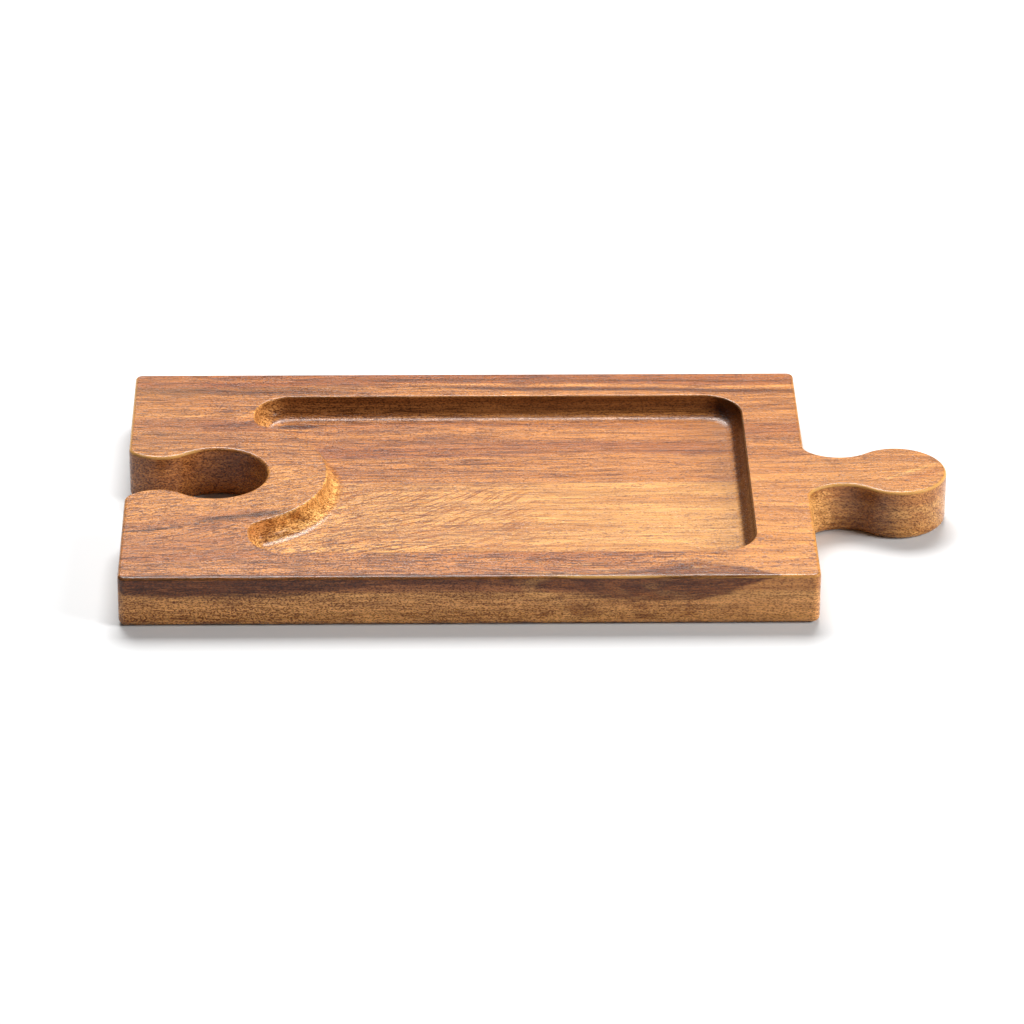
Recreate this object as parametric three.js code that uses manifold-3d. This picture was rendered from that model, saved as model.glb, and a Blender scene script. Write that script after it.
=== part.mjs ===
// Chip and dip server: a serving board shaped like a jigsaw piece, glued up from two hardwood staves.
// Millimetres, +Z up. The origin is on the underside, below the middle of the slab.
// +X points at the tab, +Y at the back edge.

import * as THREE from 'three';
import { mergeVertices } from 'three/addons/utils/BufferGeometryUtils.js';
import Module from 'manifold-3d';

const wasm = await Module();
wasm.setup();

// ---------------------------------------------------------------------------------------------
// Driving dimensions
// ---------------------------------------------------------------------------------------------

// Slab, without the tab.
const slabLength = 318;
const slabWidth = 204;
const slabThickness = 25;

// Routed edges all round the outline: a light break on top, a fuller round on the underside.
const topRound = 1.6;
const undersideRound = 3;
const cornerEase = 0.5; // a slab corner's plan radius, over the underside round

// Long-grain joint between the staves.
const jointOffset = 7.5; // from the centre line towards the back edge
const glueThickness = 0.25;

// Jigsaw tab on the +X end.
const tabReach = 65.6; // from the end face to the tip
const tabHeadRadius = 22.9;
const tabNeckWidth = 28;
const neckOverrun = 4.1; // how far the neck's curve would run past the end face without its root
const rootRadius = 9;

// Jigsaw socket in the -X end, cut to take the tab of another board.
const fitClearance = 1.5; // round the tab's flanks
const tipClearance = 0.2; // beyond the tab's tip

// Food tray sunk into the top face.
const trayDepth = 10;
const trayCove = 8; // radius between wall and floor
const trayCorner = 18;
const trayEdgeRound = 1;
const rimSide = 24.25; // from a long edge of the slab to the tray's wall
const rimTabEnd = 27.5; // from the +X end face to the tray's wall
const lobeStart = 58.5; // from the -X end face to the two lobes' end walls
const lobeWidth = 28.1; // from the tray's long wall to the ring, at a lobe's end wall
const toeEase = 1; // a lobe's inner corner radius, over the cove

// Fineness of curves.
const chordError = 0.06;
const fewestFacets = 2; // in any one arc
const edgeFacets = 4;
const coveFacets = 7;
const weld = 1e-4; // points closer than this are one point

// ---------------------------------------------------------------------------------------------
// Sizes that follow from them
// ---------------------------------------------------------------------------------------------

const halfLength = slabLength / 2;
const halfWidth = slabWidth / 2;
const cornerRadius = undersideRound + cornerEase;

const tab = knobSizes(tabHeadRadius, tabReach - tabHeadRadius, tabNeckWidth / 2);
const socket = grownKnob(tab, fitClearance, tabReach + tipClearance);
const socketX = socket.headAt - halfLength; // centre of the socket's round end

const trayHalfWidth = halfWidth - rimSide;
const trayFloor = slabThickness - trayDepth;
const lobeX = lobeStart - halfLength;
const ringRadius = Math.hypot(lobeX - socketX, trayHalfWidth - lobeWidth);

// A neck curve that is tangent to the head and as wide as the neck at its narrowest.
function knobSizes(headRadius, headAt, neckHalf) {
  const span = headAt + neckOverrun;
  const sum = span + headRadius - neckHalf;
  const neckRadius = sum - Math.sqrt(sum ** 2 - span ** 2 - neckHalf ** 2 + headRadius ** 2);
  return {
    headRadius,
    headAt,
    neckRadius,
    neckAt: neckRadius - neckOverrun,
    neckSide: neckHalf + neckRadius,
    rootRadius,
  };
}

// The same knob with its outline moved outwards, and as deep as asked for.
function grownKnob(knob, growth, depth) {
  const headRadius = knob.headRadius + growth;
  const headAt = depth - headRadius;
  return {
    headRadius,
    headAt,
    neckRadius: knob.neckRadius - growth,
    neckAt: knob.neckAt + headAt - knob.headAt,
    neckSide: knob.neckSide,
    rootRadius: knob.rootRadius - growth,
  };
}

// ---------------------------------------------------------------------------------------------
// Outlines
// ---------------------------------------------------------------------------------------------

// Points on a circular arc between two angles, as fine as the chord error asks for.
function arc(x, y, radius, from, to) {
  const step = 2 * Math.acos(1 - chordError / radius);
  const count = Math.max(fewestFacets, Math.ceil(Math.abs(to - from) / step));
  return Array.from({ length: count + 1 }, (_, i) => {
    const angle = from + ((to - from) * i) / count;
    return new THREE.Vector2(x + radius * Math.cos(angle), y + radius * Math.sin(angle));
  });
}

// A closed shape from stretches of points, with meeting ends kept once.
function outline(...stretches) {
  const points = stretches.flat();
  const apart = (p, i) => p.distanceTo(points[(i + 1) % points.length]) > weld;
  return new THREE.Shape(points.filter(apart));
}

// A knob's edge from its -Y root round the head to its +Y root. X is measured from the end face.
function knobEdge({ headRadius, headAt, neckRadius, neckAt, neckSide, rootRadius: root }) {
  const rootSide = neckSide - Math.sqrt((neckRadius - root) ** 2 - (neckAt - root) ** 2);
  const rootAngle = Math.atan2(neckSide - rootSide, root - neckAt);
  const neckAngle = Math.atan2(neckSide, headAt - neckAt);
  const headAngle = Math.PI - neckAngle;
  return [
    ...arc(root, -rootSide, root, Math.PI, rootAngle),
    ...arc(neckAt, -neckSide, neckRadius, rootAngle, neckAngle),
    ...arc(headAt, 0, headRadius, -headAngle, headAngle),
    ...arc(neckAt, neckSide, neckRadius, -neckAngle, -rootAngle),
    ...arc(root, rootSide, root, -rootAngle, -Math.PI),
  ];
}

function shifted(points, x) {
  return points.map((p) => new THREE.Vector2(p.x + x, p.y));
}

// A quarter turn of a rounded corner, counter-clockwise from the given number of right angles.
function corner(x, y, radius, quarter) {
  const start = (quarter * Math.PI) / 2;
  return arc(x, y, radius, start, start + Math.PI / 2);
}

function boardOutline() {
  const x = halfLength - cornerRadius;
  const y = halfWidth - cornerRadius;
  return outline(
    corner(x, -y, cornerRadius, 3),
    shifted(knobEdge(tab), halfLength),
    corner(x, y, cornerRadius, 0),
    corner(-x, y, cornerRadius, 1),
    shifted(knobEdge(socket), -halfLength).reverse(),
    corner(-x, -y, cornerRadius, 2),
  );
}

// The tray's wall line: a rounded rectangle whose -X end makes room for a ring round the socket.
function trayOutline() {
  const toe = trayCove + toeEase;
  const toeX = lobeX + toe;
  const toeY = Math.sqrt((ringRadius + toe) ** 2 - (toeX - socketX) ** 2);
  const toeAngle = Math.atan2(toeY, toeX - socketX);
  const lobeCorner = Math.min(trayCorner, trayHalfWidth - toeY);
  const farX = halfLength - rimTabEnd - trayCorner;
  const farY = trayHalfWidth - trayCorner;
  const nearX = lobeX + lobeCorner;
  const nearY = trayHalfWidth - lobeCorner;
  return outline(
    corner(farX, -farY, trayCorner, 3),
    corner(farX, farY, trayCorner, 0),
    corner(nearX, nearY, lobeCorner, 1),
    arc(toeX, toeY, toe, Math.PI, Math.PI + toeAngle),
    arc(socketX, 0, ringRadius, toeAngle, -toeAngle),
    arc(toeX, -toeY, toe, Math.PI - toeAngle, Math.PI),
    corner(nearX, -nearY, lobeCorner, 2),
  );
}

// ---------------------------------------------------------------------------------------------
// Solids
// ---------------------------------------------------------------------------------------------

function solidFrom(geometry) {
  geometry.deleteAttribute('normal');
  geometry.deleteAttribute('uv');
  const merged = mergeVertices(geometry, weld);
  const mesh = new wasm.Mesh({
    numProp: 3,
    vertProperties: merged.attributes.position.array,
    triVerts: new Uint32Array(merged.index.array),
  });
  return new wasm.Manifold(mesh);
}

// A shape pulled up from low to high, with both ends rounded over inside that height.
function rounded(shape, low, high, radius, facets) {
  const geometry = new THREE.ExtrudeGeometry(shape, {
    depth: high - low - 2 * radius,
    bevelThickness: radius,
    bevelSize: radius,
    bevelOffset: -radius,
    bevelSegments: facets,
  });
  return solidFrom(geometry.translate(0, 0, low + radius));
}

// A cutter that starts at the wall line and swings outwards to the high end, to break an edge.
function edgeBreaker(shape, high, radius) {
  const geometry = new THREE.ExtrudeGeometry(shape, {
    depth: radius,
    bevelThickness: radius,
    bevelSize: -radius,
    bevelOffset: radius,
    bevelSegments: edgeFacets,
  });
  const bothEnds = solidFrom(geometry.translate(0, 0, high - 2 * radius));
  return bothEnds.intersect(slice('z', high - 1.5 * radius, high));
}

// Everything between two planes across one axis.
function slice(axis, low, high) {
  const reach = 2 * (slabLength + tabReach);
  const size = new THREE.Vector3(reach, reach, reach);
  const centre = new THREE.Vector3();
  size[axis] = high - low;
  centre[axis] = (high + low) / 2;
  return solidFrom(new THREE.BoxGeometry(...size).translate(...centre));
}

function boardSolid() {
  const shape = boardOutline();
  const overshoot = 2 * (topRound + undersideRound);
  const broken = rounded(shape, -overshoot, slabThickness, topRound, edgeFacets);
  const eased = rounded(shape, 0, slabThickness + overshoot, undersideRound, edgeFacets);
  return broken.intersect(eased);
}

function trayCutter() {
  const shape = trayOutline();
  const bowl = rounded(shape, trayFloor, slabThickness + 2 * trayCove, trayCove, coveFacets);
  return bowl.add(edgeBreaker(shape, slabThickness, trayEdgeRound));
}

function meshFrom(name, solid, color, roughness) {
  const { vertProperties, triVerts } = solid.getMesh();
  const geometry = new THREE.BufferGeometry();
  geometry.setAttribute('position', new THREE.BufferAttribute(vertProperties, 3));
  geometry.setIndex(new THREE.BufferAttribute(triVerts, 1));
  geometry.computeVertexNormals();
  const material = new THREE.MeshStandardMaterial({ color, roughness, metalness: 0 });
  const mesh = new THREE.Mesh(geometry, material);
  mesh.name = name;
  return mesh;
}

// ---------------------------------------------------------------------------------------------
// The board, sawn along its joint
// ---------------------------------------------------------------------------------------------

const board = boardSolid().subtract(trayCutter());
const glueFront = jointOffset - glueThickness / 2;
const glueBack = jointOffset + glueThickness / 2;

const server = new THREE.Group();
server.add(
  meshFrom('back_stave', board.intersect(slice('y', glueBack, slabWidth)), 0x9c6840, 0.42),
  meshFrom('front_stave', board.intersect(slice('y', -slabWidth, glueFront)), 0xb27c48, 0.42),
  meshFrom('glue_line', board.intersect(slice('y', glueFront, glueBack)), 0x6a4426, 0.6),
);

export default server;
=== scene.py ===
"""Chip and dip server: a jigsaw-shaped serving board of two hardwood staves, dressed for display.

The board is drawn as one blank, sunk with its tray, rounded over and sawn along its glued joint.
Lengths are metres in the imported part's frame: +X towards the tab, +Y to the back, +Z up. Patterns
in the wood are laid out in millimetres.
"""

import logging
import math
from collections.abc import Callable
from dataclasses import dataclass
from enum import Enum

import bmesh
import bpy
from mathutils import Matrix, Vector


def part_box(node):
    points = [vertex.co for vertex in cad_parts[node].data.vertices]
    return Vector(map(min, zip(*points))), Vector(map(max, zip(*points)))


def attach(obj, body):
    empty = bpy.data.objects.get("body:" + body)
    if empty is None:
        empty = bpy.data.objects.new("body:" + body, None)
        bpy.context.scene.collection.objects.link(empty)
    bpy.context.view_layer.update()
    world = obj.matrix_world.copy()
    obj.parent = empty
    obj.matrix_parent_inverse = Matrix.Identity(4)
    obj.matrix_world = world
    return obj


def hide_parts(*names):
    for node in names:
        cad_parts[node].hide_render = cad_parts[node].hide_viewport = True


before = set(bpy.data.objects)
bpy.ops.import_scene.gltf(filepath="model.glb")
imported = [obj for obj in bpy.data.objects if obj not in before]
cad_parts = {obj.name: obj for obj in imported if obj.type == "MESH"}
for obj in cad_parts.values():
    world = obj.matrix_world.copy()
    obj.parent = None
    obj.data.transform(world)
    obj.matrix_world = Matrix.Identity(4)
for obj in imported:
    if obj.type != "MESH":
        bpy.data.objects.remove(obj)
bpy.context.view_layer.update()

log = logging.getLogger("server")

MM = 0.001
PER_METRE = 1000.0
NEAR = 1e-5
LEVEL_TILT = 0.5

# What a screen colour is multiplied by to allow for the lights' strength and the oil's warmth.
WOOD_SHARE = 0.64
WOOD_GREEN = 0.91
WOOD_BLUE = 0.60

# Places that the figure and the painted shade and light are laid out by, in millimetres. The tray's
# have room to spare.
TOP = 25.0
FRONT_EDGE = -102.0
TRAY_FLOOR = 15.0
TAB_FACE = 159.0
TRAY_ENDS = (-101.0, 134.0)
TRAY_SIDES = (-79.0, 79.0)
SOCKET_WALLS_END = -98.0

Colour = tuple[float, float, float]
Socket = bpy.types.NodeSocket
Input = bpy.types.NodeSocket | float


# ---------------------------------------------------------------------------------------------
# Outlines
# ---------------------------------------------------------------------------------------------


class KnobKind(Enum):
    """Which way a jigsaw knob turns first when the outline is walked counter-clockwise."""

    TAB = -1
    SOCKET = 1


@dataclass(frozen=True)
class Knob:
    """A jigsaw knob's outline, with X measured from the end face towards the round head."""

    head_radius: float
    head_at: float
    neck_radius: float
    neck_at: float
    neck_side: float
    root_radius: float

    @classmethod
    def tangent(
        cls, head_radius: float, reach: float, neck: float, overrun: float, root: float
    ) -> "Knob":
        """Gives the knob whose neck curve is tangent to its head.

        Args:
            head_radius: radius of the round head.
            reach: from the end face to the tip.
            neck: width at the narrowest place.
            overrun: how far the neck's curve would run past the end face without its root.
            root: radius between the end face and the neck's curve.

        Returns:
            The knob.
        """
        span = reach - head_radius + overrun
        total = span + head_radius - neck / 2
        under = total**2 - span**2 - (neck / 2) ** 2 + head_radius**2
        curve = total - math.sqrt(under)
        return cls(head_radius, reach - head_radius, curve, curve - overrun, neck / 2 + curve, root)

    def grown(self, growth: float, depth: float) -> "Knob":
        """Gives the socket that takes this knob.

        Args:
            growth: clearance round the flanks.
            depth: from the end face to the far wall.

        Returns:
            The larger knob.
        """
        radius = self.head_radius + growth
        head_at = depth - radius
        return Knob(
            radius,
            head_at,
            self.neck_radius - growth,
            self.neck_at + head_at - self.head_at,
            self.neck_side,
            self.root_radius - growth,
        )

    def root_side(self) -> float:
        """Gives the distance from the axis at which the root leaves the end face."""
        across = self.neck_at - self.root_radius
        return self.neck_side - math.sqrt((self.neck_radius - self.root_radius) ** 2 - across**2)

    def draw(self, pen: "Pen", x: float, kind: KnobKind) -> None:
        """Walks round the knob from one root to the other.

        Args:
            pen: the pen that draws the outline.
            x: place of the end face.
            kind: tab or socket.
        """
        turn = kind.value
        side = self.root_side()
        root_angle = math.atan2(self.neck_side - side, self.root_radius - self.neck_at)
        neck_angle = math.atan2(self.neck_side, self.head_at - self.neck_at)
        pen.line(x, turn * side)
        pen.arc(x + self.root_radius, turn * side, turn * (math.pi - root_angle))
        pen.arc(x + self.neck_at, turn * self.neck_side, turn * (root_angle - neck_angle))
        pen.arc(x + self.head_at, 0, -turn * 2 * (math.pi - neck_angle))
        pen.arc(x + self.neck_at, -turn * self.neck_side, turn * (root_angle - neck_angle))
        pen.arc(x + self.root_radius, -turn * side, turn * (math.pi - root_angle))


class Pen:
    """Draws a closed outline in edit mode, one stroke after another, and fills it."""

    CHORD_ERROR = 0.012 * MM
    FEWEST_STEPS = 3

    def __init__(self, name: str, x: float, y: float, z: float) -> None:
        """Puts the pen down.

        Args:
            name: name of the new object.
            x: start of the outline.
            y: start of the outline.
            z: height of the outline.
        """
        deselect()
        bpy.ops.mesh.primitive_plane_add(size=MM, location=(x, y, z))
        self.piece = bpy.context.object
        self.piece.name = name
        self.at = (x, y)
        self.z = z
        bpy.ops.object.transform_apply(location=True, rotation=True, scale=True)
        bpy.ops.object.mode_set(mode="EDIT")
        bpy.ops.mesh.select_all(action="SELECT")
        bpy.ops.mesh.merge(type="CENTER")

    def line(self, x: float, y: float) -> None:
        """Draws a straight line, unless it would have no length.

        Args:
            x: its end.
            y: its end.
        """
        step = (x - self.at[0], y - self.at[1], 0)
        if math.hypot(step[0], step[1]) < NEAR:
            return
        bpy.ops.mesh.extrude_region_move(TRANSFORM_OT_translate={"value": step})
        self.at = (x, y)

    def arc(self, x: float, y: float, turn: float) -> None:
        """Draws an arc.

        Args:
            x: centre of the arc.
            y: centre of the arc.
            turn: angle swept, counter-clockwise when positive.
        """
        dx, dy = self.at[0] - x, self.at[1] - y
        radius = math.hypot(dx, dy)
        step = 2 * math.acos(1 - self.CHORD_ERROR / radius)
        steps = max(self.FEWEST_STEPS, math.ceil(abs(turn) / step))
        bpy.ops.mesh.spin(steps=steps, angle=-turn, center=(x, y, self.z), axis=(0, 0, 1))
        cos, sin = math.cos(turn), math.sin(turn)
        self.at = (x + dx * cos - dy * sin, y + dx * sin + dy * cos)

    def corner(self, x: float, y: float, radius: float) -> None:
        """Draws a line to a square corner and rounds it to the left.

        Args:
            x: the corner, before it is rounded.
            y: the corner, before it is rounded.
            radius: radius of the rounded corner.
        """
        dx, dy = x - self.at[0], y - self.at[1]
        length = math.hypot(dx, dy)
        ux, uy = dx / length, dy / length
        self.line(x - ux * radius, y - uy * radius)
        self.arc(self.at[0] - uy * radius, self.at[1] + ux * radius, math.pi / 2)

    def close(self, height: float) -> bpy.types.Object:
        """Fills the outline and pulls it up to a solid.

        Args:
            height: height of the solid.

        Returns:
            The solid.
        """
        bpy.ops.mesh.select_all(action="SELECT")
        bpy.ops.mesh.remove_doubles(threshold=NEAR)
        bpy.ops.mesh.edge_face_add()
        bpy.ops.mesh.extrude_region_move(TRANSFORM_OT_translate={"value": (0, 0, height)})
        bpy.ops.mesh.select_all(action="SELECT")
        bpy.ops.mesh.normals_make_consistent(inside=False)
        bpy.ops.mesh.select_all(action="DESELECT")
        bpy.ops.object.mode_set(mode="OBJECT")
        return self.piece


# ---------------------------------------------------------------------------------------------
# Bench tools
# ---------------------------------------------------------------------------------------------


def deselect() -> None:
    """Leaves nothing selected."""
    if bpy.context.object is not None and bpy.context.object.mode != "OBJECT":
        bpy.ops.object.mode_set(mode="OBJECT")
    bpy.ops.object.select_all(action="DESELECT")


def take(piece: bpy.types.Object) -> None:
    """Makes one piece the selected and active one.

    Args:
        piece: the piece.
    """
    deselect()
    piece.select_set(True)
    bpy.context.view_layer.objects.active = piece


def apply_modifier(piece: bpy.types.Object, kind: str, **settings: object) -> None:
    """Adds a modifier, sets it up and applies it.

    Args:
        piece: the piece to change.
        kind: Blender's name for the type of modifier.
        settings: values of the modifier's own properties.
    """
    take(piece)
    bpy.ops.object.modifier_add(type=kind)
    modifier = piece.modifiers[-1]
    for key, value in settings.items():
        setattr(modifier, key, value)
    bpy.ops.object.modifier_apply(modifier=modifier.name)


def round_edges(
    piece: bpy.types.Object,
    wanted: Callable[[bmesh.types.BMEdge], bool],
    radius: float,
    segments: int,
) -> int:
    """Rounds the chosen edges over.

    Args:
        piece: the piece to change.
        wanted: says whether an edge is one of them.
        radius: radius of the round.
        segments: facets across the round.

    Returns:
        How many edges were rounded.
    """
    take(piece)
    bpy.ops.object.mode_set(mode="EDIT")
    bpy.ops.mesh.select_mode(type="EDGE")
    bpy.ops.mesh.select_all(action="DESELECT")
    mesh = bmesh.from_edit_mesh(piece.data)
    chosen = [edge for edge in mesh.edges if wanted(edge)]
    for edge in chosen:
        edge.select_set(True)
    bmesh.update_edit_mesh(piece.data)
    bpy.ops.mesh.bevel(offset=radius, segments=segments, profile=0.5, clamp_overlap=False)
    bpy.ops.mesh.select_all(action="DESELECT")
    bpy.ops.object.mode_set(mode="OBJECT")
    return len(chosen)


def rim_edge(edge: bmesh.types.BMEdge, height: float) -> bool:
    """Says whether an edge lies at a height, between a level face and an upright one.

    Args:
        edge: the edge.
        height: the height.

    Returns:
        True for such an edge.
    """
    level = all(abs(v.co.z - height) < NEAR for v in edge.verts)
    if not level or len(edge.link_faces) != 2:
        return False
    tilts = sorted(abs(face.normal.z) for face in edge.link_faces)
    return tilts[0] < LEVEL_TILT < tilts[1]


def keep_slice(piece: bpy.types.Object, low: float | None, high: float | None) -> None:
    """Saws a piece across Y and keeps what lies between two planes, with closed cut faces.

    Args:
        piece: the piece to saw.
        low: the front plane, or None for no cut.
        high: the back plane, or None for no cut.
    """
    take(piece)
    bpy.ops.object.mode_set(mode="EDIT")
    for y, behind in ((low, False), (high, True)):
        if y is None:
            continue
        bpy.ops.mesh.select_all(action="SELECT")
        bpy.ops.mesh.bisect(
            plane_co=(0, y, 0),
            plane_no=(0, 1, 0),
            use_fill=True,
            clear_outer=behind,
            clear_inner=not behind,
        )
    bpy.ops.mesh.select_all(action="DESELECT")
    bpy.ops.object.mode_set(mode="OBJECT")


# ---------------------------------------------------------------------------------------------
# Shader graphs
# ---------------------------------------------------------------------------------------------


class Graph:
    """Builds one material, with methods that add a node and give back its output."""

    MIX_AMOUNT = 0
    MIX_FIRST = 6
    MIX_SECOND = 7
    MIX_RESULT = 2

    def __init__(self, name: str) -> None:
        """Starts an empty material.

        Args:
            name: its name.
        """
        self.material = bpy.data.materials.new(name)
        self.material.use_nodes = True
        self.tree = self.material.node_tree
        self.tree.nodes.clear()

    def add(
        self, kind: str, inputs: dict[str | int, object] | None = None, **settings: object
    ) -> bpy.types.Node:
        """Adds a node.

        Args:
            kind: the node's type.
            inputs: values or sockets for its inputs.
            settings: values of the node's own properties.

        Returns:
            The node.
        """
        node = self.tree.nodes.new(kind)
        for key, value in settings.items():
            setattr(node, key, value)
        for key, value in (inputs or {}).items():
            if isinstance(value, bpy.types.NodeSocket):
                self.tree.links.new(value, node.inputs[key])
            else:
                node.inputs[key].default_value = value
        return node

    def math(self, operation: str, a: Input, b: Input = 0.0) -> Socket:
        """Adds a Math node and gives its value."""
        return self.add("ShaderNodeMath", {0: a, 1: b}, operation=operation).outputs[0]

    def plus(self, a: Input, b: Input) -> Socket:
        """Gives the sum."""
        return self.math("ADD", a, b)

    def minus(self, a: Input, b: Input) -> Socket:
        """Gives the difference."""
        return self.math("SUBTRACT", a, b)

    def times(self, a: Input, b: Input) -> Socket:
        """Gives the product."""
        return self.math("MULTIPLY", a, b)

    def step(
        self, value: Input, low: float, high: float, to_low: float = 0.0, to_high: float = 1.0
    ) -> Socket:
        """Gives a smooth ramp.

        Args:
            value: the input.
            low: input at the ramp's start.
            high: input at the ramp's end.
            to_low: what the ramp starts from.
            to_high: what the ramp ends on.

        Returns:
            A value from one to the other.
        """
        inputs = {0: value, 1: low, 2: high, 3: to_low, 4: to_high}
        node = self.add("ShaderNodeMapRange", inputs, interpolation_type="SMOOTHSTEP")
        return node.outputs[0]

    def window(self, value: Input, low: float, high: float, soft: float) -> Socket:
        """Gives 1 inside a range and 0 outside it.

        Args:
            value: the input.
            low: start of the range.
            high: end of the range.
            soft: half the width of its soft edges.

        Returns:
            A value from 0 to 1.
        """
        rise = self.step(value, low - soft, low + soft)
        fall = self.step(value, high - soft, high + soft, 1.0, 0.0)
        return self.times(rise, fall)

    def combine(self, x: Input, y: Input, z: Input) -> Socket:
        """Gives a vector from its three parts."""
        return self.add("ShaderNodeCombineXYZ", {0: x, 1: y, 2: z}).outputs[0]

    def noise(self, vector: Socket, detail: float, roughness: float, spread: float) -> Socket:
        """Gives fractal noise.

        Args:
            vector: where to read it, in units of its largest features.
            detail: octaves.
            roughness: weight of each finer octave.
            spread: how far about its middle the noise is stretched to fill 0 to 1.

        Returns:
            A value from 0 to 1.
        """
        inputs = {"Vector": vector, "Scale": 1.0, "Detail": detail, "Roughness": roughness}
        raw = self.add("ShaderNodeTexNoise", inputs).outputs["Fac"]
        inputs = {0: raw, 1: 0.5 - spread, 2: 0.5 + spread, 3: 0.0, 4: 1.0}
        return self.add("ShaderNodeMapRange", inputs, clamp=True).outputs[0]

    def mix(
        self, amount: Input, a: Socket | Colour, b: Socket | Colour, blend: str = "MIX"
    ) -> Socket:
        """Blends two colours.

        Args:
            amount: how much of the second one is used.
            a: the first colour.
            b: the second colour.
            blend: Blender's name for the way they are blended.

        Returns:
            A colour.
        """
        node = self.add("ShaderNodeMix", {}, data_type="RGBA", blend_type=blend, clamp_factor=True)
        for key, value in ((self.MIX_AMOUNT, amount), (self.MIX_FIRST, a), (self.MIX_SECOND, b)):
            if isinstance(value, bpy.types.NodeSocket):
                self.tree.links.new(value, node.inputs[key])
            elif key == self.MIX_AMOUNT:
                node.inputs[key].default_value = value
            else:
                node.inputs[key].default_value = (*value, 1.0)
        return node.outputs[self.MIX_RESULT]


# ---------------------------------------------------------------------------------------------
# Finishes
# ---------------------------------------------------------------------------------------------


def linear(red: int, green: int, blue: int, share: float = 1.0) -> Colour:
    """Gives the linear colour of a screen colour.

    Args:
        red: 0 to 255.
        green: 0 to 255.
        blue: 0 to 255.
        share: what the linear parts are multiplied by.

    Returns:
        The three linear parts.
    """
    parts = [part / 255 for part in (red, green, blue)]
    curve = [part / 12.92 if part <= 0.04045 else ((part + 0.055) / 1.055) ** 2.4 for part in parts]
    return (curve[0] * share, curve[1] * share, curve[2] * share)


def wood(red: int, green: int, blue: int) -> Colour:
    """Gives the reflectance of wood that looks like a screen colour under the studio's lights.

    Args:
        red: 0 to 255.
        green: 0 to 255.
        blue: 0 to 255.

    Returns:
        The three linear parts.
    """
    red_part, green_part, blue_part = linear(red, green, blue, WOOD_SHARE)
    return (red_part, green_part * WOOD_GREEN, blue_part * WOOD_BLUE)


@dataclass(frozen=True)
class Band:
    """A stretch of other wood that follows the grain. Places are in millimetres."""

    y: float
    width: float
    tone: Colour
    strength: float
    start: float = -400.0
    end: float = 400.0
    slope: float = 0.0
    soft: float = 2.0
    fade: float = 20.0
    low: float = -10.0
    high: float = 40.0


@dataclass(frozen=True)
class Spot:
    """A patch of other wood, or of painted light or shade, round a point. Places are in millimetres.
    """

    x: float
    y: float
    length: float
    width: float
    tone: Colour
    strength: float
    slope: float = 0.0
    low: float = -10.0
    high: float = 40.0


@dataclass(frozen=True)
class Streaks:
    """Streaks along the fibres: their length and width in millimetres, and how rough they are."""

    along: float
    wide: float
    offset: float
    detail: float = 2.0
    roughness: float = 0.6
    spread: float = 0.2


BROAD_BANDS = Streaks(300, 30, 0.0, roughness=0.5, spread=0.25)
STREAKS = Streaks(130, 5.5, 3.1, detail=3.0, spread=0.22)
NARROW_STREAKS = Streaks(70, 2.2, 5.3, detail=3.0, spread=0.25)
CROWDS = Streaks(45, 7.0, 11.3, spread=0.22)
RIBBONS = Streaks(40, 2.4, 21.4)
FIBRES = Streaks(14, 0.85, 7.7)
HAIRS = Streaks(15, 0.62, 31.9, detail=1.0, roughness=0.5)
SPECKLES = Streaks(0.9, 0.6, 17.9, detail=0.0, roughness=0.5)
FRAYS = Streaks(7, 0.9, 3.3, detail=3.0, roughness=0.7)
VEINS = Streaks(8, 0.8, 51.0)


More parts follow.
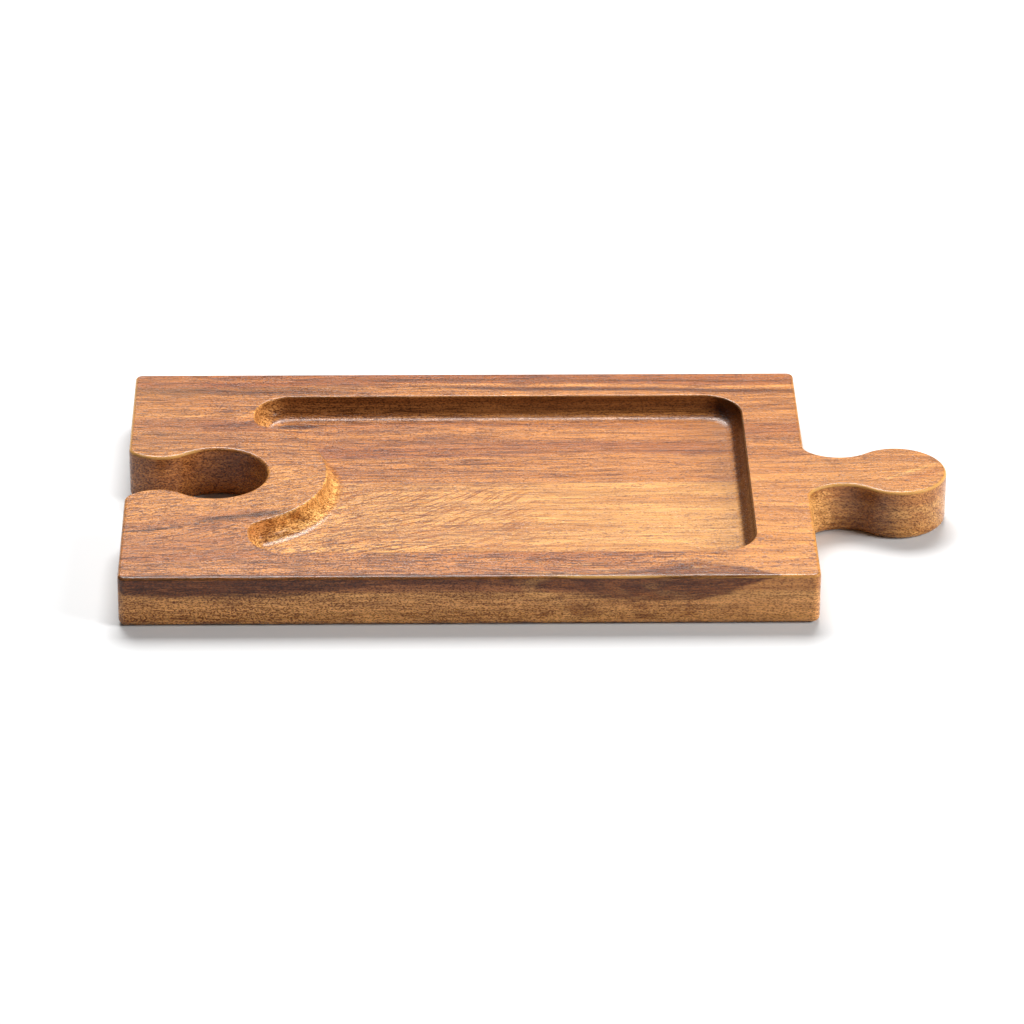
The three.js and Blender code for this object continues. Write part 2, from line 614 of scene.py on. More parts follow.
class Grain:
    """Places in a stave that follow its fibres, in millimetres, and the patterns laid out on them.

    Attributes:
        RIPPLE: the quick waver of the fibres, as a share of the slow one.
        STRAY_IN_DEPTH: how far the fibres stray in depth, as a share of how far they stray across.
        HEIGHT_SOFT: half the width of the soft edge at a height.
        CLOUD_DETAIL: octaves of the clouds.
        CLOUD_ROUGHNESS: weight of each finer octave of the clouds.
    """

    RIPPLE = 0.16
    STRAY_IN_DEPTH = 0.5
    HEIGHT_SOFT = 1.2
    CLOUD_DETAIL = 1.0
    CLOUD_ROUGHNESS = 0.5

    def __init__(self, graph: Graph, seed: float, wander: float, lean: float, rise: float) -> None:
        """Sets up the places.

        Args:
            graph: the material.
            seed: shifts every pattern.
            wander: how far the fibres stray from straight.
            lean: how far the growth layers lean back with each millimetre of depth.
            rise: how far the fibres climb backwards over the socket end.
        """
        g = graph
        self.graph = g
        self.seed = seed
        source = g.add("ShaderNodeTexCoord").outputs
        inputs = {0: source["Object"], "Scale": PER_METRE}
        mm = g.add("ShaderNodeVectorMath", inputs, operation="SCALE").outputs[0]
        parts = g.add("ShaderNodeSeparateXYZ", {0: mm}).outputs
        self.x, self.y, self.z = parts[0], parts[1], parts[2]
        normal = g.add("ShaderNodeSeparateXYZ", {0: source["Normal"]}).outputs
        self.level = g.math("ABSOLUTE", normal[2])
        self.end = g.math("ABSOLUTE", normal[0])
        self.facing_x, self.facing_y = normal[0], normal[1]
        slow = self.clouds((110, 55, 40), 0.0)
        quick = self.clouds((40, 14, 9), 1.7)
        ripple = g.times(g.minus(quick, 0.5), wander * self.RIPPLE)
        stray = g.plus(g.times(g.minus(slow, 0.5), wander), ripple)
        climb = g.times(g.step(self.x, -185.0, -35.0), g.step(self.y, -104.0, -45.0))
        stray = g.minus(stray, g.times(climb, rise))
        self.across = g.plus(g.plus(self.y, g.times(g.minus(self.z, TOP), lean)), stray)
        self.depth = g.plus(self.z, g.times(stray, self.STRAY_IN_DEPTH))

    def clouds(self, size: tuple[float, float, float], offset: float, spread: float = 0.3) -> Socket:
        """Gives soft clouds, which don't follow the fibres.

        Args:
            size: size of its features along X, Y and Z.
            offset: shifts it from its neighbours.
            spread: how far about its middle it is stretched.

        Returns:
            A value from 0 to 1.
        """
        g = self.graph
        where = g.combine(
            g.times(self.x, 1 / size[0]),
            g.times(self.y, 1 / size[1]),
            g.plus(g.times(self.z, 1 / size[2]), self.seed + offset),
        )
        return g.noise(where, self.CLOUD_DETAIL, self.CLOUD_ROUGHNESS, spread)

    def fibres(self, kind: Streaks) -> Socket:
        """Gives streaks along the fibres.

        Args:
            kind: the streaks.

        Returns:
            A value from 0 to 1.
        """
        g = self.graph
        where = g.combine(
            g.plus(g.times(self.x, 1 / kind.along), kind.offset),
            g.plus(g.times(self.across, 1 / kind.wide), self.seed + kind.offset),
            g.times(self.depth, 1 / kind.wide),
        )
        return g.noise(where, kind.detail, kind.roughness, kind.spread)

    def pores(self, length: float, width: float, radius: Input, offset: float) -> Socket:
        """Gives open pores: short dashes along the fibres, and dots where the fibres end.

        Args:
            length: spacing along the fibres.
            width: spacing across them.
            radius: size of a pore as a share of the spacing.
            offset: shifts them from their neighbours.

        Returns:
            1 in a pore, 0 outside, with soft edges.
        """
        g = self.graph
        where = g.combine(
            g.plus(g.times(self.x, 1 / length), offset),
            g.plus(g.times(self.across, 1 / width), self.seed),
            g.times(self.depth, 1 / width),
        )
        inputs = {"Vector": where, "Scale": 1.0, "Randomness": 1.0}
        cells = g.add("ShaderNodeTexVoronoi", inputs, feature="F1")
        inside = g.minus(radius, cells.outputs["Distance"])
        return g.step(inside, -0.05, 0.07)

    def height(self, low: float, high: float) -> Socket:
        """Gives 1 between two heights."""
        return self.graph.window(self.z, low, high, self.HEIGHT_SOFT)

    def band(self, band: Band, streak: Socket) -> Socket:
        """Gives where a band lies.

        Args:
            band: the band.
            streak: streaks that fray it.

        Returns:
            A value from 0 to the band's strength.
        """
        g = self.graph
        line = g.minus(self.across, g.plus(g.times(self.x, band.slope), band.y))
        line = g.plus(line, g.times(g.minus(streak, 0.5), band.soft * 1.6))
        here = g.window(line, -band.width / 2, band.width / 2, band.soft)
        here = g.times(here, g.window(self.x, band.start, band.end, band.fade))
        here = g.times(here, self.height(band.low, band.high))
        return g.times(here, g.times(g.plus(g.times(streak, 0.7), 0.65), band.strength))

    def spot(self, spot: Spot, streak: Socket) -> Socket:
        """Gives where a spot lies.

        Args:
            spot: the spot.
            streak: streaks that fray it.

        Returns:
            A value from 0 to the spot's strength.
        """
        g = self.graph
        dx = g.minus(self.x, spot.x)
        dy = g.minus(g.minus(self.y, spot.y), g.times(dx, spot.slope))
        u = g.times(dx, 2 / spot.length)
        v = g.times(dy, 2 / spot.width)
        reach = g.plus(g.times(u, u), g.times(v, v))
        fine = self.fibres(FRAYS)
        fray = g.plus(g.times(g.minus(streak, 0.5), 0.9), g.times(g.minus(fine, 0.5), 1.6))
        here = g.step(g.plus(reach, fray), 0.0, 1.3, 1.0, 0.0)
        return g.times(g.times(here, self.height(spot.low, spot.high)), spot.strength)


@dataclass(frozen=True)
class Oil:
    """The oiled surface of the wood."""

    roughness: float = 0.22
    fibre_roughness: float = 0.10
    pore_roughness: float = 0.2
    specular: float = 0.25
    coat: float = 0.2
    coat_roughness: float = 0.18
    bump: float = 0.7
    bump_height: float = 0.12 * MM
    raised_fibre: float = -0.5


@dataclass(frozen=True)
class WearAndPaintedLight:
    """What colours are multiplied by in fibres and pores, the painted shade and painted light on
    walls, and the tone of a rubbed edge, which is partly a painted highlight.
    """

    bright_fibre: Colour = (1.30, 1.28, 1.22)
    dark_fibre: Colour = (0.36, 0.26, 0.17)
    pore: Colour = (0.42, 0.32, 0.24)
    # Painted shade on the socket's walls.
    socket_wall_shade: Colour = (0.70, 0.48, 0.20)
    # Painted shade on the tray's wall at the tab end and its wall along the back.
    shaded_wall: Colour = (0.22, 0.17, 0.14)
    # Painted light on the tray's walls that face the tab.
    wall_painted_light: Colour = (1.7, 2.0, 2.2)
    # Partly rubbed wear, partly a painted highlight on the upper edges.
    rubbed_edge_and_highlight: Colour = wood(252, 200, 140)


@dataclass(frozen=True)
class WoodFinish:
    """Oiled hardwood of one stave."""

    name: str
    seed: float
    pale: Colour
    tan: Colour
    brown: Colour
    floor: Colour
    bands: tuple[Band, ...]
    spots: tuple[Spot, ...] = ()
    wander: float = 8.0
    lean: float = 0.45
    rise: float = 0.0
    oil: Oil = Oil()
    wear_and_painted_light: WearAndPaintedLight = WearAndPaintedLight()

    def figure(self, grain: Grain, colour: Socket, streak: Socket) -> Socket:
        """Lays the stave's own figure over its ground colour. A plain stave has none."""
        return colour

    def grit(self, grain: Grain) -> Socket:
        """Gives how coarse the fibres look: coarse at the socket end, fine at the tab end."""
        return grain.graph.step(grain.x, -80.0, 120.0, 1.75, 0.95)

    def ground(self, grain: Grain, streak: Socket) -> Socket:
        """Gives the ground colour, with its broad and narrow streaks.

        Args:
            grain: the places.
            streak: the narrow streaks.

        Returns:
            A colour.
        """
        g = grain.graph
        broad = grain.fibres(BROAD_BANDS)
        narrow = grain.fibres(NARROW_STREAKS)
        colour = g.mix(broad, self.pale, self.tan)
        inside = g.step(grain.z, TRAY_FLOOR + 0.2, TRAY_FLOOR + 4.0, 0.8, 0.0)
        colour = g.mix(inside, colour, self.floor)
        colour = g.mix(g.times(g.step(streak, 0.3, 0.9), 0.6), colour, self.brown)
        return g.mix(g.times(g.step(narrow, 0.4, 0.9), 0.45), colour, self.brown)

    def paint_wall_shade_and_light(self, grain: Grain, colour: Socket, upright: Socket) -> Socket:
        """Paints shade on the socket's walls and on some walls of the tray, and paints light on
        others.

        Args:
            grain: the places.
            colour: the wood's colour.
            upright: 1 on walls and 0 on level faces.

        Returns:
            A colour.
        """
        g = grain.graph
        # Painted shade on the upright faces at the socket end, the socket's walls among them.
        socket_shade = g.times(upright, g.plus(g.times(grain.end, 0.12), 0.1))
        socket_shade = g.times(socket_shade, g.step(grain.x, SOCKET_WALLS_END, SOCKET_WALLS_END - 3.0))
        colour = g.mix(socket_shade, colour, self.wear_and_painted_light.socket_wall_shade, "MULTIPLY")
        above = g.step(grain.z, TRAY_FLOOR, TRAY_FLOOR + 1.2)
        sunk = g.times(above, g.window(grain.x, *TRAY_ENDS, 1.0))
        sunk = g.times(sunk, g.window(grain.y, *TRAY_SIDES, 1.0))
        # The tray's wall at the tab end and its wall along the back get painted shade.
        left = g.step(g.times(grain.facing_x, -1.0), 0.1, 0.5)
        left = g.times(left, g.step(grain.x, 90.0, 108.0))
        front = g.step(g.times(grain.facing_y, -1.0), 0.3, 0.9)
        front = g.times(front, g.step(grain.y, 50.0, 66.0, 0.0, 0.55))
        shaded = g.times(sunk, g.math("MAXIMUM", left, front))
        colour = g.mix(shaded, colour, self.wear_and_painted_light.shaded_wall, "MULTIPLY")
        # The tray's walls that face the tab get painted light, which makes them paler.
        right = g.step(grain.facing_x, 0.15, 0.6)
        return g.mix(g.times(sunk, right), colour, self.wear_and_painted_light.wall_painted_light, "MULTIPLY")

    def rub_and_highlight_edges(self, grain: Grain, colour: Socket, streak: Socket) -> Socket:
        """Pales the upper edges, partly as rubbed wear and partly as a painted highlight: the tab,
        the socket's back lip, the front.

        Args:
            grain: the places.
            colour: the wood's colour.
            streak: streaks that break the rub up.

        Returns:
            A colour.
        """
        g = grain.graph
        tab = g.step(grain.x, TAB_FACE - 2.0, TAB_FACE + 2.0, 0.1, 0.75)
        lip = g.times(g.step(grain.x, -122.0, -130.0, 0.0, 0.7), g.step(grain.y, 4.0, 9.0))
        front = g.step(grain.y, FRONT_EDGE + 3.0, FRONT_EDGE + 1.0)
        front = g.times(front, g.step(grain.x, -20.0, 60.0, 0.0, 0.8))
        front = g.times(front, g.step(streak, 0.4, 0.75))
        share = g.math("MAXIMUM", g.math("MAXIMUM", tab, lip), front)
        arris = g.window(grain.level, 0.3, 0.92, 0.12)
        arris = g.times(arris, g.step(grain.z, TOP - 2.5, TOP - 1.4))
        return g.mix(g.times(arris, share), colour, self.wear_and_painted_light.rubbed_edge_and_highlight)

    def lay_figure(self, grain: Grain, streak: Socket) -> Socket:
        """Lays the ground colour, the bands, the spots, some of them painted light and shade, and the
        stave's own figure.

        Args:
            grain: the places.
            streak: the narrow streaks.

        Returns:
            A colour.
        """
        g = grain.graph
        colour = self.ground(grain, streak)
        for band in self.bands:
            colour = g.mix(grain.band(band, streak), colour, band.tone)
        for spot in self.spots:
            colour = g.mix(grain.spot(spot, streak), colour, spot.tone)
        return self.figure(grain, colour, streak)

    def fibre_tone(self, grain: Grain, upright: Socket, fibre: Socket) -> Socket:
        """Gives how dark the fine fibres are: ribbons, long strokes, and dots where they end.

        Args:
            grain: the places.
            upright: 1 on walls and 0 on level faces.
            fibre: the finest streaks.

        Returns:
            A value about 0 to 1, darkest at 1.
        """
        g = grain.graph
        ribbon = grain.fibres(RIBBONS)
        hair = g.step(grain.fibres(HAIRS), 0.58, 0.72)
        speckle = g.step(grain.fibres(SPECKLES), 0.6, 0.85)
        along = g.plus(g.times(upright, -0.55), 1.0)
        stroke = g.plus(g.times(g.minus(fibre, 0.5), 0.5), g.times(hair, 0.42))
        dot = g.times(speckle, g.plus(g.times(upright, -0.05), 0.4))
        tone = g.times(g.plus(g.times(stroke, along), dot), self.grit(grain))
        return g.plus(g.plus(tone, g.times(g.minus(ribbon, 0.5), 0.42)), 0.22)

    def open_pores(self, grain: Grain, upright: Socket) -> Socket:
        """Gives the open pores: long ones, which show less on walls, and small ones.

        Args:
            grain: the places.
            upright: 1 on walls and 0 on level faces.

        Returns:
            1 in a pore and 0 outside.
        """
        g = grain.graph
        crowd = grain.fibres(CROWDS)
        wide = g.plus(g.plus(g.times(crowd, 0.26), 0.08), g.times(upright, 0.05))
        narrow = g.plus(g.times(crowd, 0.2), g.plus(g.times(upright, 0.16), 0.16))
        long = g.times(grain.pores(4.6, 1.7, wide, 0.0), g.plus(g.times(upright, -0.6), 1.0))
        small = g.times(grain.pores(1.5, 0.9, narrow, 5.0), 0.8)
        return g.math("MAXIMUM", long, small)

    def build(self) -> bpy.types.Material:
        """Makes the material.

        Returns:
            The material.
        """
        g = Graph(self.name)
        grain = Grain(g, self.seed, self.wander, self.lean, self.rise)
        streak = grain.fibres(STREAKS)
        colour = self.lay_figure(grain, streak)
        upright = g.step(grain.level, 0.2, 0.85, 1.0, 0.0)
        fibre = grain.fibres(FIBRES)
        tone = self.fibre_tone(grain, upright, fibre)
        open_pores = self.open_pores(grain, upright)

        fine = g.mix(tone, self.wear_and_painted_light.bright_fibre, self.wear_and_painted_light.dark_fibre)
        colour = g.mix(1.0, colour, fine, "MULTIPLY")
        colour = g.mix(g.times(open_pores, 0.85), colour, self.wear_and_painted_light.pore, "MULTIPLY")
        colour = self.paint_wall_shade_and_light(grain, colour, upright)
        colour = self.rub_and_highlight_edges(grain, colour, streak)

        height = g.minus(g.times(tone, self.oil.raised_fibre), open_pores)
        inputs = {"Strength": self.oil.bump, "Distance": self.oil.bump_height, "Height": height}
        bump = g.add("ShaderNodeBump", inputs)
        rough = g.plus(g.times(open_pores, self.oil.pore_roughness), self.oil.roughness)
        rough = g.plus(g.times(fibre, self.oil.fibre_roughness), rough)
        shader = g.add(
            "ShaderNodeBsdfPrincipled",
            {
                "Base Color": colour,
                "Roughness": rough,
                "Normal": bump.outputs[0],
                "Specular IOR Level": self.oil.specular,
                "Coat Weight": self.oil.coat,
                "Coat Roughness": self.oil.coat_roughness,
            },
        )
        g.add("ShaderNodeOutputMaterial", {"Surface": shader.outputs[0]})
        return g.material


@dataclass(frozen=True)
class FrontWood(WoodFinish):
    """The front stave's wood: slanting cross-fire in the tray, dark heartwood along its front."""

    fire: Colour = wood(172, 106, 60)
    glow: Colour = wood(250, 202, 152)
    heart: Colour = wood(116, 58, 20)
    # Pale wood, made paler as painted light thrown up from the table.
    sap_and_floor_light: Colour = linear(236, 170, 104, 0.85)
    stroke_depth: float = 7.0

    def figure(self, grain: Grain, colour: Socket, streak: Socket) -> Socket:
        """Lays the cross-fire, the heartwood and the pale sapwood, which is partly painted light,
        over the ground.

        Args:
            grain: the places.
            colour: the ground colour.
            streak: the narrow streaks.

        Returns:
            A colour.
        """
        colour = self.sapwood_and_floor_light(grain, colour)
        colour = self.heartwood(grain, colour, streak)
        return self.cross_fire(grain, colour)

    def grit(self, grain: Grain) -> Socket:
        """Gives how coarse the fibres look: coarse at the socket end and along the front rim.

        Args:
            grain: the places.

        Returns:
            What the fibres' contrast is multiplied by.
        """
        g = grain.graph
        rim = g.times(g.step(grain.y, -76.0, -84.0), g.step(grain.x, 130.0, 90.0))
        tab = g.step(grain.x, 140.0, 165.0, 0.0, 0.35)
        return g.plus(g.plus(g.step(grain.x, -90.0, 60.0, 1.55, 0.7), g.times(rim, 0.7)), tab)

    def cross_fire(self, grain: Grain, colour: Socket) -> Socket:
        """Lays short strokes that fan out across the tray and over the front rim.

        Args:
            grain: the places.
            colour: the wood's colour.

        Returns:
            A colour.
        """
        g = grain.graph
        steep = g.plus(g.times(g.plus(grain.y, 60.0), 0.0075), 0.42)
        slant = g.minus(grain.y, g.times(g.math("MINIMUM", grain.x, 30.0), steep))
        waver = g.times(g.minus(grain.clouds((26, 18, 9), 4.4), 0.5), 5.0)
        slant = g.plus(slant, waver)
        patch = grain.clouds((46, 30, 20), 6.1, 0.25)
        field = g.times(g.window(grain.x, -92.0, 40.0, 28.0), g.window(grain.y, -84.0, 8.0, 10.0))
        rim = g.times(g.window(grain.x, 0.0, 118.0, 25.0), g.step(grain.y, -76.0, -82.0))
        field = g.plus(g.times(field, g.plus(g.times(patch, 0.7), 0.5)), g.times(rim, 0.6))
        dark = g.step(self.strokes(grain, slant, 15, 1.6, 0.0), 0.46, 0.8)
        light = g.step(self.strokes(grain, slant, 22, 2.6, 8.0), 0.55, 1.0)
        colour = g.mix(g.times(g.times(light, field), 0.5), colour, self.glow)
        return g.mix(g.times(g.times(dark, field), 0.95), colour, self.fire)

    def strokes(
        self, grain: Grain, slant: Socket, length: float, width: float, offset: float
    ) -> Socket:
        """Gives the strokes of the cross-fire.

        Args:
            grain: the places.
            slant: the place across the strokes.
            length: length of a stroke.
            width: width of a stroke.
            offset: shifts them from their neighbours.

        Returns:
            A value from 0 to 1.
        """
        g = grain.graph
        where = g.combine(
            g.plus(g.times(grain.x, 1 / length), offset),
            g.plus(g.times(slant, 1 / width), self.seed),
            g.times(grain.z, 1 / self.stroke_depth),
        )
        return g.noise(where, 2.0, 0.6, 0.22)

    def sapwood_and_floor_light(self, grain: Grain, colour: Socket) -> Socket:
        """Lays pale wood over the lower part of the front face; its paleness is partly painted light,
        as if thrown up from the table.

        Args:
            grain: the places.
            colour: the wood's colour.

        Returns:
            A colour.
        """
        g = grain.graph
        front = g.step(grain.y, FRONT_EDGE + 2.5, FRONT_EDGE + 0.8)
        low = g.step(grain.z, 20.0, 8.0)
        return g.mix(g.times(g.times(front, low), 0.75), colour, self.sap_and_floor_light)

    def heartwood(self, grain: Grain, colour: Socket, streak: Socket) -> Socket:
        """Lays dark heartwood round the front's upper edge, deepest towards the tab.

        Args:
            grain: the places.
            colour: the wood's colour.
            streak: streaks that fray its edge.

        Returns:
            A colour.
        """
        g = grain.graph
        x = grain.x
        # How far the dark wood reaches down the front face and back over the rim.
        swell = g.plus(g.step(x, 5.0, 85.0, 0.0, 9.0), g.step(x, 96.0, 147.0, 0.0, -13.4))
        down = g.plus(g.step(x, -95.0, -30.0, 9.5, 4.5), swell)
        back = g.plus(g.step(x, 62.0, 98.0, 3.0, 13.5), g.step(x, 110.0, 147.0, 0.0, -13.0))
        thinnest = 0.3
        inward = g.math("DIVIDE", g.minus(grain.y, FRONT_EDGE), g.math("MAXIMUM", back, thinnest))
        below = g.math("DIVIDE", g.minus(TOP, grain.z), g.math("MAXIMUM", down, thinnest))
        reach = g.plus(g.plus(inward, below), g.times(g.minus(streak, 0.5), 0.5))
        here = g.step(reach, 0.75, 1.15, 1.0, 0.0)
        veins = g.step(grain.fibres(VEINS), 0.4, 0.8, 0.97, 0.65)
        return g.mix(g.times(here, veins), colour, self.heart)


@dataclass(frozen=True)
class PlainFinish:
    """A plain surface with a little tone variation, for the glue film and the studio floor."""

    name: str
    colour: Colour
    roughness: float
    mottle: float
    grain: float
    bump: float = 0.2
    bump_height: float = 0.02 * MM

    def build(self) -> bpy.types.Material:
        """Makes the material.

        Returns:
            The material.
        """
        g = Graph(self.name)
        place = g.add("ShaderNodeTexCoord").outputs["Object"]
        inputs = {0: place, "Scale": PER_METRE / self.grain}
        scaled = g.add("ShaderNodeVectorMath", inputs, operation="SCALE").outputs[0]
        tone = g.noise(scaled, 3, 0.5, 0.3)
        darker = tuple(part * (1 - self.mottle) for part in self.colour)
        colour = g.mix(tone, self.colour, darker)
        inputs = {"Strength": self.bump, "Distance": self.bump_height, "Height": tone}
        bump = g.add("ShaderNodeBump", inputs)
        shader = g.add(
            "ShaderNodeBsdfPrincipled",
            {"Base Color": colour, "Roughness": self.roughness, "Normal": bump.outputs[0]},
        )
        g.add("ShaderNodeOutputMaterial", {"Surface": shader.outputs[0]})
        return g.material


RED = wood(168, 100, 74)
UMBER = wood(126, 76, 50)
BURNT = wood(100, 54, 28)
STRAW = wood(236, 170, 120)

BACK_WOOD = WoodFinish(
    name="oiled back stave",
    seed=4.0,
    pale=wood(228, 162, 112),
    tan=wood(206, 142, 98),
    brown=wood(164, 102, 68),
    floor=wood(222, 156, 106),
    wander=4.0,
    bands=(
        Band(96.0, 13.0, RED, 0.7, soft=2.5),
        Band(84.5, 8.0, UMBER, 0.75, -170, -55, soft=2.5, fade=30),
        Band(91.0, 2.2, STRAW, 1.0, -30, 170, slope=-0.02, soft=0.9, fade=30, low=20),
        Band(95.5, 2.0, UMBER, 0.8, -60, 170, slope=-0.012, soft=0.9, fade=30, low=20),
        Band(87.5, 3.6, UMBER, 1.0, -20, 170, slope=-0.03, soft=1.1, fade=30, low=20),
        Band(58.0, 3.0, STRAW, 0.8, -170, -98, soft=1.2, fade=10, low=20),
        Band(47.0, 14.0, RED, 0.6, -170, -60, soft=3.5, low=18),
        Band(43.0, 12.0, RED, 0.6, 125, 170, soft=3.0, fade=6, low=18),
        Band(62.0, 9.0, RED, 0.5, -70, 120, soft=3.5, high=17),
        Band(38.0, 16.0, RED, 0.6, -80, 125, soft=4.0, high=17),
        Band(43.0, 1.6, UMBER, 0.6, -75, 40, slope=-0.03, soft=0.8, high=17),
        Band(34.0, 1.6, UMBER, 0.6, -20, 120, slope=0.01, soft=0.8, high=17),
    ),
    spots=(
        Spot(-78, 65.5, 26, 5, wood(92, 42, 12), 1.0, high=21),
        Spot(-84, 48, 14, 5, wood(92, 46, 20), 0.9, high=23.5),
    ),
)

FRONT_WOOD = FrontWood(
    name="oiled front stave",
    seed=9.0,
    pale=wood(236, 172, 118),
    tan=wood(222, 156, 106),
    brown=wood(190, 126, 84),
    floor=wood(244, 190, 140),
    wander=7.0,
    rise=24.0,
    bands=(
        Band(-98.0, 34.0, RED, 0.5, -170, 92, soft=5.0, fade=22, low=17),
        Band(-66.0, 40.0, RED, 0.4, -170, -92, soft=6.0, fade=8, low=17),
        Band(-56.0, 5.0, BURNT, 0.9, -124, -76, soft=1.6, fade=9, low=17),
        Band(-57.5, 2.0, BURNT, 0.9, -162, -132, soft=0.8, fade=8, low=17),
    ),
    spots=(
        Spot(209, -0.5, 30, 3.5, wood(255, 204, 150), 0.7, slope=0.62, low=20),
        Spot(213, -5.5, 26, 7, wood(188, 118, 76), 0.7, slope=0.62, low=20),
        # Painted highlight on the tray wall of the front lobe.
        Spot(-80, -57, 26, 12, linear(255, 206, 140, 0.75), 0.6, slope=0.5, low=15.8, high=24.2),
        # Painted shade on the front side of the tab's neck.
        Spot(189, -17, 34, 16, wood(112, 62, 30), 0.6, high=22.5),
        # Painted light on the front side of the tab's root fillet.
        Spot(165, -23, 16, 20, linear(255, 192, 118, 0.8), 0.9, high=22.5),
    ),
)

GLUE = PlainFinish("cured glue", wood(120, 70, 40), roughness=0.5, mottle=0.3, grain=2.0)
TABLE = PlainFinish("pale table", (0.62, 0.62, 0.62), roughness=0.9, mottle=0.01, grain=400.0)


# ---------------------------------------------------------------------------------------------
# The board
# ---------------------------------------------------------------------------------------------


@dataclass
class ServingBoard:
    """The glued-up board. Its outer size comes from the frame, and the rest is written here."""

    top_round: float = 1.6 * MM
    underside_round: float = 3 * MM
    corner_ease: float = 0.5 * MM
    tab_head_radius: float = 22.9 * MM
    tab_neck_width: float = 28 * MM
    neck_overrun: float = 4.1 * MM
    root_radius: float = 9 * MM
    fit_clearance: float = 1.5 * MM
    tip_clearance: float = 0.2 * MM
    tray_depth: float = 10 * MM
    tray_cove: float = 8 * MM
    tray_corner: float = 18 * MM
    tray_edge_round: float = 1 * MM
    rim_side: float = 24.25 * MM
    rim_tab_end: float = 27.5 * MM
    lobe_start: float = 58.5 * MM
    lobe_width: float = 28.1 * MM
    toe_ease: float = 1 * MM
    top_facets: int = 5
    underside_facets: int = 8
    cove_facets: int = 14
    tray_edge_facets: int = 4
    crease: float = math.radians(38)

    def __post_init__(self) -> None:
        """Reads the outer size and the joint's place from the frame."""
        _, back_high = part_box("back_stave")
        front_low, front_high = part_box("front_stave")
        glue_low, glue_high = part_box("glue_line")
        self.half_length = -front_low.x
        self.half_width = back_high.y
        self.thickness = front_high.z
        reach = front_high.x - self.half_length
        self.glue_front = glue_low.y
        self.glue_back = glue_high.y
        self.tab = Knob.tangent(
            self.tab_head_radius, reach, self.tab_neck_width, self.neck_overrun, self.root_radius
        )
        self.socket = self.tab.grown(self.fit_clearance, reach + self.tip_clearance)
        self.socket_x = self.socket.head_at - self.half_length
        self.tray_half = self.half_width - self.rim_side
        self.lobe_x = self.lobe_start - self.half_length
        self.ring = math.hypot(self.lobe_x - self.socket_x, self.tray_half - self.lobe_width)

    def draw_blank(self) -> bpy.types.Object:
        """Draws the outline with its tab and socket and pulls it up to the board's thickness.

        Returns:
            The blank, before the tray is sunk.
        """
        x, y = self.half_length, self.half_width
        radius = self.underside_round + self.corner_ease
        pen = Pen("blank", x, radius - y, 0)
        self.tab.draw(pen, x, KnobKind.TAB)
        pen.corner(x, y, radius)
        pen.corner(-x, y, radius)
        self.socket.draw(pen, -x, KnobKind.SOCKET)
        pen.corner(-x, -y, radius)
        pen.corner(x, -y, radius)
        return pen.close(self.thickness)

    def draw_tray(self) -> bpy.types.Object:
        """Draws the hollow of the tray, with its cove along the floor.

        Returns:
            The solid that is taken out of the blank.
        """
        toe = self.tray_cove + self.toe_ease
        toe_x = self.lobe_x + toe
        toe_y = math.sqrt((self.ring + toe) ** 2 - (toe_x - self.socket_x) ** 2)
        turn = math.atan2(toe_y, toe_x - self.socket_x)
        near = min(self.tray_corner, self.tray_half - toe_y)
        far_x = self.half_length - self.rim_tab_end
        floor = self.thickness - self.tray_depth
        pen = Pen("tray", far_x, self.tray_corner - self.tray_half, floor)
        pen.corner(far_x, self.tray_half, self.tray_corner)
        pen.corner(self.lobe_x, self.tray_half, near)
        pen.line(self.lobe_x, toe_y)
        pen.arc(toe_x, toe_y, turn)
        pen.arc(self.socket_x, 0, -2 * turn)
        pen.arc(toe_x, -toe_y, turn)
        pen.corner(self.lobe_x, -self.tray_half, near)
        pen.corner(far_x, -self.tray_half, self.tray_corner)
        hollow = pen.close(2 * self.tray_depth)
        round_edges(hollow, lambda edge: rim_edge(edge, floor), self.tray_cove, self.cove_facets)
        return hollow

    def on_tray(self, edge: bmesh.types.BMEdge) -> bool:
        """Says whether an edge belongs to the tray's mouth and not to the outside.

        Args:
            edge: the edge.

        Returns:
            True on the tray's mouth.
        """
        far_x = self.half_length - self.rim_tab_end
        for vert in edge.verts:
            x, y = vert.co.x, vert.co.y
            inside = self.lobe_x - NEAR < x < far_x + NEAR and abs(y) < self.tray_half + NEAR
            if not inside or math.hypot(x - self.socket_x, y) < self.ring - NEAR:
                return False
        return True

    def cut_board(self) -> bpy.types.Object:
        """Sinks the tray into the blank and rounds every edge over.

        Returns:
            The board in one piece.
        """
        board = self.draw_blank()
        hollow = self.draw_tray()
        apply_modifier(board, "BOOLEAN", operation="DIFFERENCE", object=hollow, solver="EXACT")
        bpy.data.objects.remove(hollow)
        top = self.thickness
        mouth = round_edges(
            board,
            lambda edge: rim_edge(edge, top) and self.on_tray(edge),
            self.tray_edge_round,
            self.tray_edge_facets,
        )
        upper = round_edges(
            board,
            lambda edge: rim_edge(edge, top) and not self.on_tray(edge),
            self.top_round,
            self.top_facets,
        )
        lower = round_edges(
            board,
            lambda edge: rim_edge(edge, 0),
            self.underside_round,
            self.underside_facets,
        )
        log.info("rounded %d tray edges, %d upper edges and %d lower edges", mouth, upper, lower)
        return board

    def saw(
        self, board: bpy.types.Object, name: str, low: float | None, high: float | None
    ) -> bpy.types.Object:
        """Takes one lengthwise piece of the board.

        Args:
            board: the board in one piece.
            name: name of the new piece.
            low: its front plane, or None.
            high: its back plane, or None.

        Returns:
            The piece, with smooth rounds and flat faces.
        """
        take(board)
        bpy.ops.object.duplicate()
        piece = bpy.context.object
        piece.name = name
        keep_slice(piece, low, high)
        take(piece)
        bpy.ops.object.shade_smooth_by_angle(angle=self.crease)
        apply_modifier(piece, "WEIGHTED_NORMAL", keep_sharp=True)
        return piece

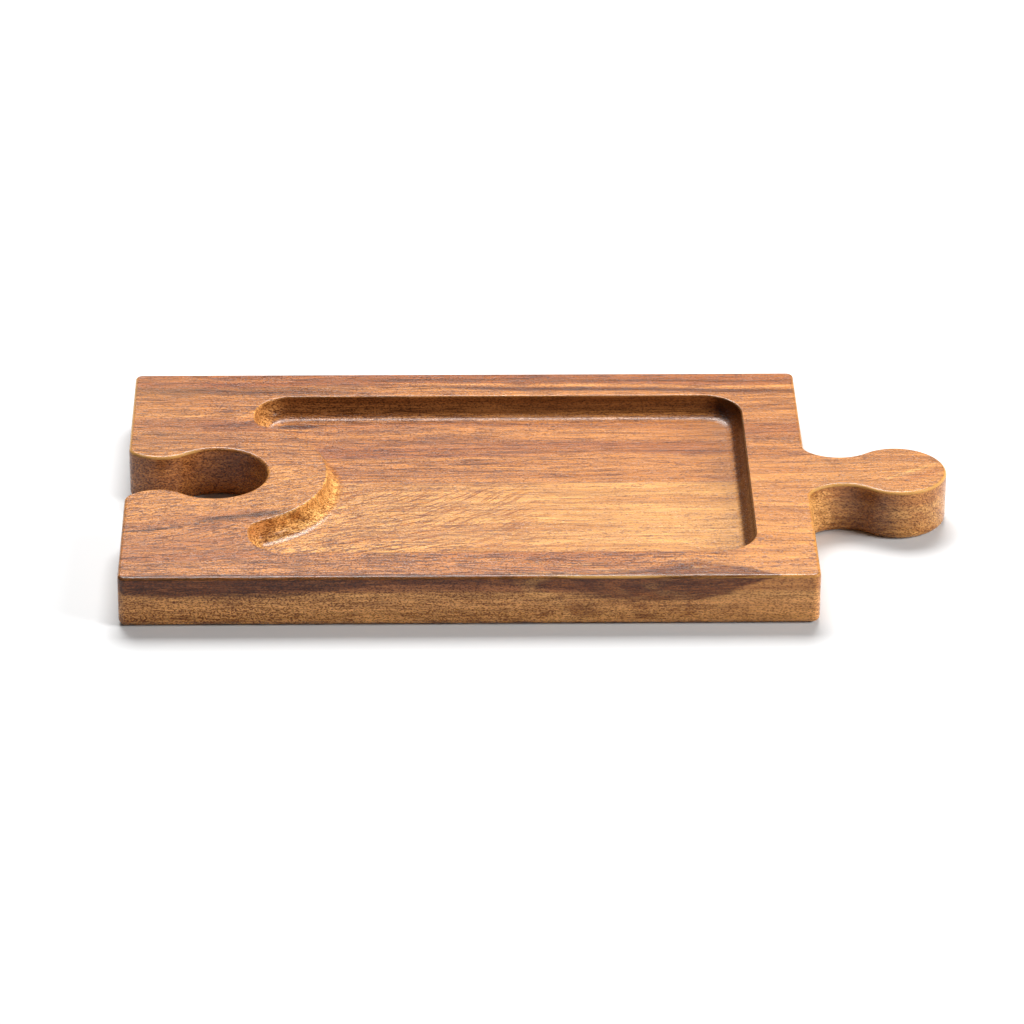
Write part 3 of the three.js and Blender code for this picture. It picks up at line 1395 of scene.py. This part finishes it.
    def dress(
        self, piece: bpy.types.Object, material: bpy.types.Material, node: str
    ) -> None:
        """Gives a piece its finish and ties it to the part.

        Args:
            piece: the piece.
            material: its finish.
            node: the node of the part that it stands for.
        """
        piece.data.materials.clear()
        piece.data.materials.append(material)
        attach(piece, "root")
        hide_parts(node)
        log.info("%s: %d faces, stands for %s", piece.name, len(piece.data.polygons), node)

    def build(self) -> None:
        """Makes the staves and the glue film between them."""
        board = self.cut_board()
        back = self.saw(board, "back_plank", self.glue_back, None)
        front = self.saw(board, "front_plank", None, self.glue_front)
        film = self.saw(board, "glue_film", self.glue_front, self.glue_back)
        bpy.data.objects.remove(board)
        self.dress(back, BACK_WOOD.build(), "back_stave")
        self.dress(front, FRONT_WOOD.build(), "front_stave")
        self.dress(film, GLUE.build(), "glue_line")


# ---------------------------------------------------------------------------------------------
# Studio
# ---------------------------------------------------------------------------------------------


@dataclass(frozen=True)
class Softbox:
    """A white rectangular area light that looks at the middle of the board.

    A light that isn't mirrored is polarised: it lights the wood and leaves no glare on the oil.
    """

    name: str
    at: tuple[float, float, float]
    width: float
    height: float
    power: float
    mirrored: bool = True

    def build(self) -> None:
        """Hangs the light."""
        bpy.ops.object.light_add(type="AREA", location=self.at)
        lamp = bpy.context.object
        lamp.name = self.name
        lamp.data.shape = "RECTANGLE"
        lamp.data.size = self.width
        lamp.data.size_y = self.height
        lamp.data.energy = self.power
        lamp.visible_glossy = self.mirrored
        lamp.rotation_euler = (-Vector(self.at)).to_track_quat("-Z", "Y").to_euler()


@dataclass(frozen=True)
class Studio:
    """A pale table, soft light from above and from the right, and a long lens."""

    floor_size: float = 12.0
    floor_cells: int = 8
    sky: float = 0.07
    target: tuple[float, float, float] = (0.0211, 0.0, 0.0035)
    distance: float = 2.535
    elevation: float = math.radians(28.21)
    azimuth: float = math.radians(-1.24)
    roll: float = math.radians(0.34)
    lens: float = 189.8
    clip_start: float = 0.1

    def build(self) -> None:
        """Makes the floor, the lights and the camera."""
        self.lay_floor()
        self.light()
        self.place_camera()

    def lay_floor(self) -> None:
        """Lays the table top under the board."""
        deselect()
        bpy.ops.mesh.primitive_grid_add(
            x_subdivisions=self.floor_cells, y_subdivisions=self.floor_cells, size=self.floor_size
        )
        floor = bpy.context.object
        floor.name = "table_top"
        floor.data.materials.append(TABLE.build())

    def light(self) -> None:
        """Hangs the softboxes and sets the sky."""
        boxes = (
            Softbox("overhead", (-0.1, 1.3, 1.9), 1.6, 1.2, 108),
            Softbox("right", (2.4, -0.7, 1.2), 1.3, 1.3, 79, mirrored=False),
            Softbox("glint", (1.9, -0.5, 1.9), 0.3, 0.3, 9),
        )
        for box in boxes:
            box.build()
        world = bpy.data.worlds.new("sky")
        world.use_nodes = True
        back = world.node_tree.nodes["Background"]
        back.inputs["Color"].default_value = (1, 1, 1, 1)
        back.inputs["Strength"].default_value = self.sky
        bpy.context.scene.world = world
        bpy.context.scene.view_settings.view_transform = "Standard"

    def place_camera(self) -> None:
        """Stands the camera in front of the board, looking down on it."""
        flat = math.cos(self.elevation)
        back = Vector(
            (
                math.sin(self.azimuth) * flat,
                -math.cos(self.azimuth) * flat,
                math.sin(self.elevation),
            )
        )
        bpy.ops.object.camera_add(location=Vector(self.target) + back * self.distance)
        camera = bpy.context.object
        aim = (-back).to_track_quat("-Z", "Y").to_matrix()
        camera.rotation_euler = (aim @ Matrix.Rotation(self.roll, 3, "Z")).to_euler()
        camera.data.lens = self.lens
        camera.data.clip_start = self.clip_start
        bpy.context.scene.camera = camera


def main() -> None:
    """Builds the board and the studio."""
    logging.basicConfig(level=logging.INFO, format="%(name)s: %(message)s")
    Studio().build()
    ServingBoard().build()


if __name__ == "__main__":
    main()
